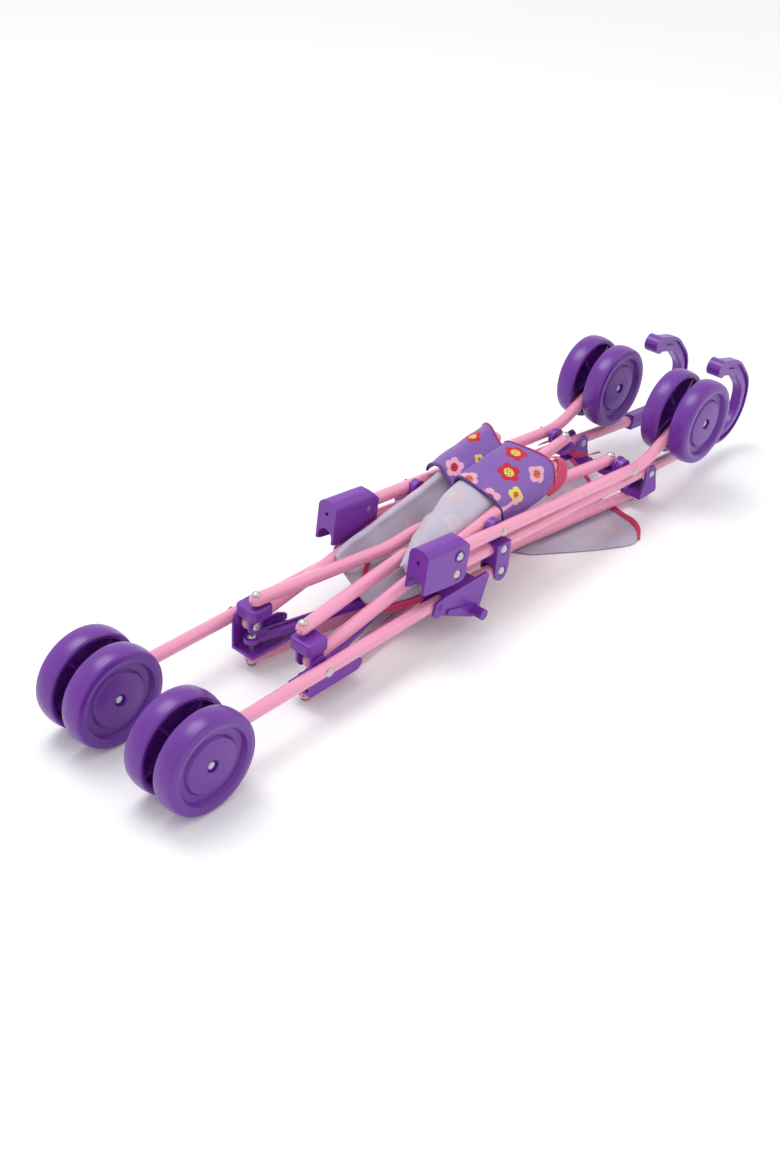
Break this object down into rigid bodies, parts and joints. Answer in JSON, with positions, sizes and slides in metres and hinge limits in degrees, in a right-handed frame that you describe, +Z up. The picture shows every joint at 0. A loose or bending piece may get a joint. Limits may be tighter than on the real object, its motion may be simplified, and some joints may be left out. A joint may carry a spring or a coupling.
{
  "type": "doll stroller",
  "caption": "Folding umbrella-type doll stroller, stored folded flat, with tube frame, crossed braces, curved handles, twin wheels and a cloth seat.",
  "frame": {"origin": "middle of the bottom of the folded stroller's box, on the surface it lies on", "axes": "+X from the rear wheels towards the handles, +Y from the near side to the far side, +Z up, towards what is the front when it stands"},
  "size_m": [0.7204, 0.134, 0.113],
  "materials": {
    "tube_paint": "gloss",
    "purple_plastic": "gloss",
    "wheel_plastic": "gloss",
    "rivet_metal": "satin",
    "axle_steel": "satin",
    "seat_fabric": "matte",
    "back_fabric": "matte"
  },
  "bodies": {
    "push_near": {"push_tube_near": "tube_paint", "handle_near": "purple_plastic", "leg_bracket_near": "purple_plastic", "push_rivets_near": "rivet_metal", "back_cloth_near": "back_fabric"},
    "front_leg_near": {"front_tube_near": "tube_paint", "fold_bracket_near": "purple_plastic", "rail_spacer_near": "purple_plastic", "front_rivets_near": "rivet_metal"},
    "rear_leg_near": {"rear_tube_near": "tube_paint", "rear_rivets_near": "rivet_metal"},
    "seat_rail_near": {"rail_tube_near": "tube_paint", "seat_cloth_near": "seat_fabric"},
    "upper_knuckle_near": {"upper_knuckle_near": "purple_plastic"},
    "lower_knuckle_near": {"lower_knuckle_near": "purple_plastic"},
    "brace_clip_near": {"brace_clip_near": "purple_plastic"},
    "brace_knuckle_near": {"brace_knuckle_near": "purple_plastic"},
    "spreader_arm_near": {"spreader_arm_near": "purple_plastic"},
    "lock_lever_near": {"lock_lever_near": "purple_plastic"},
    "rear_wheels_near": {"rear_wheel_outer_near": "wheel_plastic", "rear_wheel_inner_near": "wheel_plastic", "rear_axle_near": "axle_steel"},
    "front_wheels_near": {"front_wheel_outer_near": "wheel_plastic", "front_wheel_inner_near": "wheel_plastic", "front_axle_near": "axle_steel"},
    "push_far": {"push_tube_far": "tube_paint", "handle_far": "purple_plastic", "leg_bracket_far": "purple_plastic", "push_rivets_far": "rivet_metal", "back_cloth_far": "back_fabric"},
    "front_leg_far": {"front_tube_far": "tube_paint", "fold_bracket_far": "purple_plastic", "rail_spacer_far": "purple_plastic", "front_rivets_far": "rivet_metal"},
    "rear_leg_far": {"rear_tube_far": "tube_paint", "rear_rivets_far": "rivet_metal"},
    "seat_rail_far": {"rail_tube_far": "tube_paint", "seat_cloth_far": "seat_fabric"},
    "upper_knuckle_far": {"upper_knuckle_far": "purple_plastic"},
    "lower_knuckle_far": {"lower_knuckle_far": "purple_plastic", "spreader_pivot_far": "rivet_metal"},
    "brace_clip_far": {"brace_clip_far": "purple_plastic"},
    "brace_knuckle_far": {"brace_knuckle_far": "purple_plastic"},
    "spreader_arm_far": {"spreader_arm_far": "purple_plastic", "spreader_pin": "rivet_metal"},
    "lock_lever_far": {"lock_lever_far": "purple_plastic"},
    "rear_wheels_far": {"rear_wheel_outer_far": "wheel_plastic", "rear_wheel_inner_far": "wheel_plastic", "rear_axle_far": "axle_steel"},
    "front_wheels_far": {"front_wheel_outer_far": "wheel_plastic", "front_wheel_inner_far": "wheel_plastic", "front_axle_far": "axle_steel"},
    "seat_brace_a": {"seat_brace_a": "tube_paint", "seat_brace_rivets_a": "rivet_metal"},
    "seat_brace_b": {"seat_brace_b": "tube_paint", "seat_brace_rivets_b": "rivet_metal"},
    "back_brace_a": {"back_brace_a": "tube_paint", "back_brace_rivets_a": "rivet_metal"},
    "back_brace_b": {"back_brace_b": "tube_paint", "back_brace_rivets_b": "rivet_metal"}
  },
  "joints": [
    {"name": "leg_fold", "type": "hinge", "parent": "push_near", "child": "front_leg_near", "pos_m": [-0.07875, -0.0444, 0.06], "axis": [0, -1, 0], "range_deg": [0, 180]},
    {"name": "spread", "type": "slide", "parent": "push_near", "child": "push_far", "axis": [0, 1, 0], "range_m": [0, 0.17015]},
    {"name": "leg_fold_far", "type": "hinge", "parent": "push_far", "child": "front_leg_far", "pos_m": [-0.07875, 0.0444, 0.06], "axis": [0, -1, 0], "range_deg": [0, 180.05]},
    {"name": "rear_fold_near", "type": "hinge", "parent": "push_near", "child": "rear_leg_near", "pos_m": [-0.02175, -0.0444, 0.0365], "axis": [0, -1, 0], "range_deg": [0, 66.01]},
    {"name": "rear_fold_far", "type": "hinge", "parent": "push_far", "child": "rear_leg_far", "pos_m": [-0.02175, 0.0444, 0.0365], "axis": [0, -1, 0], "range_deg": [0, 66.01]},
    {"name": "rail_fold", "type": "hinge", "parent": "rear_leg_near", "child": "seat_rail_near", "pos_m": [-0.20475, -0.03, 0.0365], "axis": [0, -1, 0], "range_deg": [0, 26.53]},
    {"name": "rail_spread", "type": "slide", "parent": "seat_rail_near", "child": "seat_rail_far", "axis": [0, 1, 0], "range_m": [0, 0.17015]},
    {"name": "upper_knuckle_fold_near", "type": "hinge", "parent": "rear_leg_near", "child": "upper_knuckle_near", "pos_m": [-0.20475, -0.0444, 0.0365], "axis": [0, -1, 0], "range_deg": [0, 68.78]},
    {"name": "lower_knuckle_fold_near", "type": "hinge", "parent": "rear_leg_near", "child": "lower_knuckle_near", "pos_m": [-0.20475, -0.0444, 0.0365], "axis": [0, -1, 0], "range_deg": [-36.13, 0]},
    {"name": "brace_clip_fold_near", "type": "hinge", "parent": "push_near", "child": "brace_clip_near", "pos_m": [0.19525, -0.03596, 0.034], "axis": [0, -1, 0], "range_deg": [0, 29.93]},
    {"name": "upper_knuckle_fold_far", "type": "hinge", "parent": "rear_leg_far", "child": "upper_knuckle_far", "pos_m": [-0.20475, 0.0444, 0.0365], "axis": [0, -1, 0], "range_deg": [0, 68.78]},
    {"name": "lower_knuckle_fold_far", "type": "hinge", "parent": "rear_leg_far", "child": "lower_knuckle_far", "pos_m": [-0.20475, 0.0444, 0.0365], "axis": [0, -1, 0], "range_deg": [-36.13, 0]},
    {"name": "brace_clip_fold_far", "type": "hinge", "parent": "push_far", "child": "brace_clip_far", "pos_m": [0.19525, 0.03596, 0.034], "axis": [0, -1, 0], "range_deg": [0, 29.93]},
    {"name": "seat_brace_swing", "type": "hinge", "parent": "upper_knuckle_near", "child": "seat_brace_a", "pos_m": [-0.20475, -0.0227, 0.0594], "axis": [0, 0, 1], "range_deg": [0, 28.6]},
    {"name": "seat_brace_cross", "type": "hinge", "parent": "seat_brace_a", "child": "seat_brace_b", "pos_m": [-0.02375, 0, 0.0565], "axis": [0, 0, 1], "range_deg": [-57.15, 0]},
    {"name": "brace_knuckle_turn_far", "type": "hinge", "parent": "seat_brace_a", "child": "brace_knuckle_far", "pos_m": [0.15725, 0.0236, 0.0537], "axis": [0, 0, 1], "range_deg": [-28.6, 0]},
    {"name": "brace_knuckle_turn_near", "type": "hinge", "parent": "seat_brace_b", "child": "brace_knuckle_near", "pos_m": [0.15725, -0.0236, 0.0537], "axis": [0, 0, 1], "range_deg": [0, 28.6]},
    {"name": "back_brace_swing", "type": "hinge", "parent": "lower_knuckle_near", "child": "back_brace_a", "pos_m": [-0.20475, -0.0272, 0.0072], "axis": [0, 0, 1], "range_deg": [0, 25.69]},
    {"name": "back_brace_cross", "type": "hinge", "parent": "back_brace_a", "child": "back_brace_b", "pos_m": [-0.00475, 0, 0.0072], "axis": [0, 0, 1], "range_deg": [-51.33, 0]},
    {"name": "spreader_swing_near", "type": "hinge", "parent": "lower_knuckle_near", "child": "spreader_arm_near", "pos_m": [-0.20475, -0.0272, 0.0186], "axis": [0, 0, 1], "range_deg": [0, 64.85]},
    {"name": "spreader_swing_far", "type": "hinge", "parent": "lower_knuckle_far", "child": "spreader_arm_far", "pos_m": [-0.20475, 0.0272, 0.0236], "axis": [0, 0, 1], "range_deg": [-64.85, 0]},
    {"name": "rear_wheels_spin_near", "type": "hinge", "parent": "rear_leg_near", "child": "rear_wheels_near", "pos_m": [-0.32375, -0.0444, 0.0365], "axis": [0, 1, 0], "continuous": true},
    {"name": "front_wheels_spin_near", "type": "hinge", "parent": "front_leg_near", "child": "front_wheels_near", "pos_m": [0.23385, -0.0444, 0.0765], "axis": [0, 1, 0], "continuous": true},
    {"name": "lever_near", "type": "hinge", "parent": "rear_leg_near", "child": "lock_lever_near", "pos_m": [-0.09175, -0.0444, 0.0365], "axis": [0, -1, 0], "range_deg": [0, 5]},
    {"name": "rear_wheels_spin_far", "type": "hinge", "parent": "rear_leg_far", "child": "rear_wheels_far", "pos_m": [-0.32375, 0.0444, 0.0365], "axis": [0, 1, 0], "continuous": true},
    {"name": "front_wheels_spin_far", "type": "hinge", "parent": "front_leg_far", "child": "front_wheels_far", "pos_m": [0.23385, 0.0444, 0.0765], "axis": [0, 1, 0], "continuous": true},
    {"name": "lever_far", "type": "hinge", "parent": "rear_leg_far", "child": "lock_lever_far", "pos_m": [-0.09175, 0.0444, 0.0365], "axis": [0, -1, 0], "range_deg": [0, 5]}
  ],
  "couplings": [
    {"joint": "spread", "follows": "leg_fold", "m_per_rad": 0.054129},
    {"joint": "leg_fold_far", "follows": "leg_fold", "ratio": 1},
    {"joint": "rear_fold_near", "follows": "leg_fold", "ratio": 0.36644},
    {"joint": "rear_fold_far", "follows": "leg_fold", "ratio": 0.36644},
    {"joint": "rail_fold", "follows": "leg_fold", "ratio": 0.14711},
    {"joint": "rail_spread", "follows": "leg_fold", "m_per_rad": 0.054129},
    {"joint": "upper_knuckle_fold_near", "follows": "leg_fold", "ratio": 0.38183},
    {"joint": "lower_knuckle_fold_near", "follows": "leg_fold", "ratio": -0.20044},
    {"joint": "brace_clip_fold_near", "follows": "leg_fold", "ratio": 0.166},
    {"joint": "upper_knuckle_fold_far", "follows": "leg_fold", "ratio": 0.38183},
    {"joint": "lower_knuckle_fold_far", "follows": "leg_fold", "ratio": -0.20044},
    {"joint": "brace_clip_fold_far", "follows": "leg_fold", "ratio": 0.166},
    {"joint": "seat_brace_swing", "follows": "leg_fold", "ratio": 0.15861},
    {"joint": "seat_brace_cross", "follows": "leg_fold", "ratio": -0.31722},
    {"joint": "brace_knuckle_turn_far", "follows": "leg_fold", "ratio": -0.15861},
    {"joint": "brace_knuckle_turn_near", "follows": "leg_fold", "ratio": 0.15861},
    {"joint": "back_brace_swing", "follows": "leg_fold", "ratio": 0.14244},
    {"joint": "back_brace_cross", "follows": "leg_fold", "ratio": -0.28489},
    {"joint": "spreader_swing_near", "follows": "leg_fold", "ratio": 0.36},
    {"joint": "spreader_swing_far", "follows": "leg_fold", "ratio": -0.36}
  ]
}
